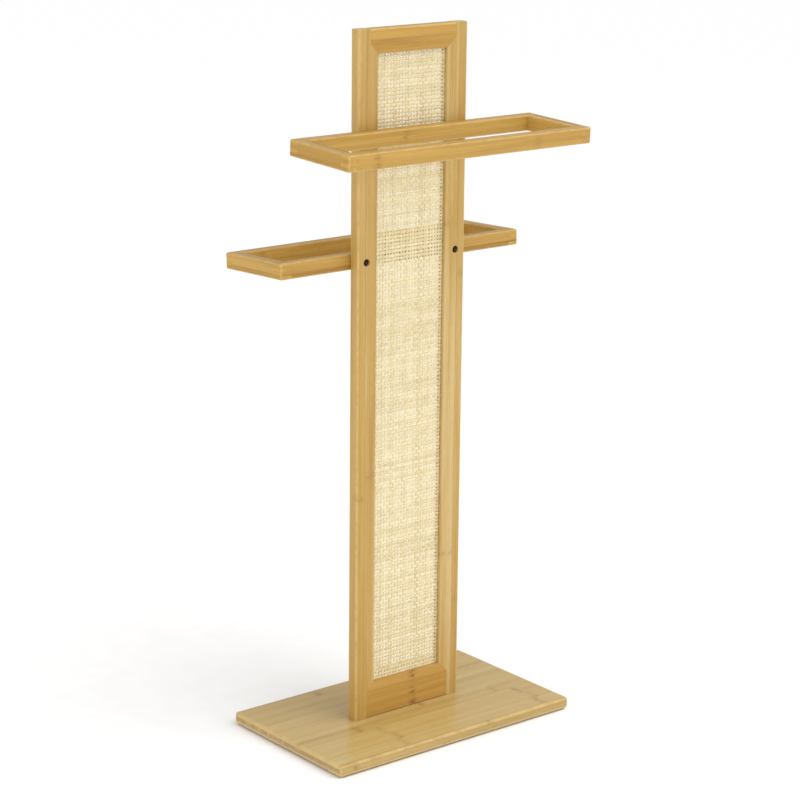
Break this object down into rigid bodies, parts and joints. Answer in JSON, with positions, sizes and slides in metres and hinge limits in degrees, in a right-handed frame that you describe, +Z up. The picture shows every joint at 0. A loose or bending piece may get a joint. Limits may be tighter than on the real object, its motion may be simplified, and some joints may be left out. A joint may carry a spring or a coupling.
{
  "type": "towel rack",
  "caption": "Free-standing wooden towel rack: a tall framed panel of woven cane on a flat base, with a rectangular towel loop on the front and a lower one on the back.",
  "frame": {"origin": "on the floor, under the middle of the rack and of the upright panel's thickness", "axes": "+X to the right along the panel's width seen from the front, +Z up; the front, with the higher loop, faces -Y"},
  "size_m": [0.366, 0.2408, 0.87],
  "materials": {
    "bamboo": "satin-lacquered laminated bamboo",
    "bamboo_pale": "satin-lacquered laminated bamboo, the paler stock of the base and beads",
    "cane": "plain-woven peeled cane, matt",
    "dowel_wood": "bare beech",
    "black_steel": "blackened steel",
    "zinc": "zinc-plated steel",
    "felt": "dark felt"
  },
  "bodies": {
    "root": {"base_plate": "bamboo_pale", "foot_front_left": "felt", "foot_front_right": "felt", "foot_back_left": "felt", "foot_back_right": "felt", "left_stile": "bamboo", "right_stile": "bamboo", "top_rail": "bamboo", "bottom_rail": "bamboo", "cane_panel": "cane", "bead_top": "bamboo_pale", "bead_bottom": "bamboo_pale", "bead_left": "bamboo_pale", "bead_right": "bamboo_pale", "front_inner_bar": "bamboo", "front_outer_bar": "bamboo", "front_left_bar": "bamboo", "front_right_bar": "bamboo", "front_bolt_left": "black_steel", "front_insert_left": "zinc", "front_bolt_right": "black_steel", "front_insert_right": "zinc", "rear_inner_bar": "bamboo", "rear_outer_bar": "bamboo", "rear_left_bar": "bamboo", "rear_right_bar": "bamboo", "rear_bolt_left": "black_steel", "rear_insert_left": "zinc", "rear_bolt_right": "black_steel", "rear_insert_right": "zinc", "base_bolt_left": "black_steel", "base_insert_left": "zinc", "base_dowel_left": "dowel_wood", "top_rail_dowel_left_1": "dowel_wood", "top_rail_dowel_left_2": "dowel_wood", "bottom_rail_dowel_left_1": "dowel_wood", "bottom_rail_dowel_left_2": "dowel_wood", "base_bolt_right": "black_steel", "base_insert_right": "zinc", "base_dowel_right": "dowel_wood", "top_rail_dowel_right_1": "dowel_wood", "top_rail_dowel_right_2": "dowel_wood", "bottom_rail_dowel_right_1": "dowel_wood", "bottom_rail_dowel_right_2": "dowel_wood"}
  },
  "joints": []
}
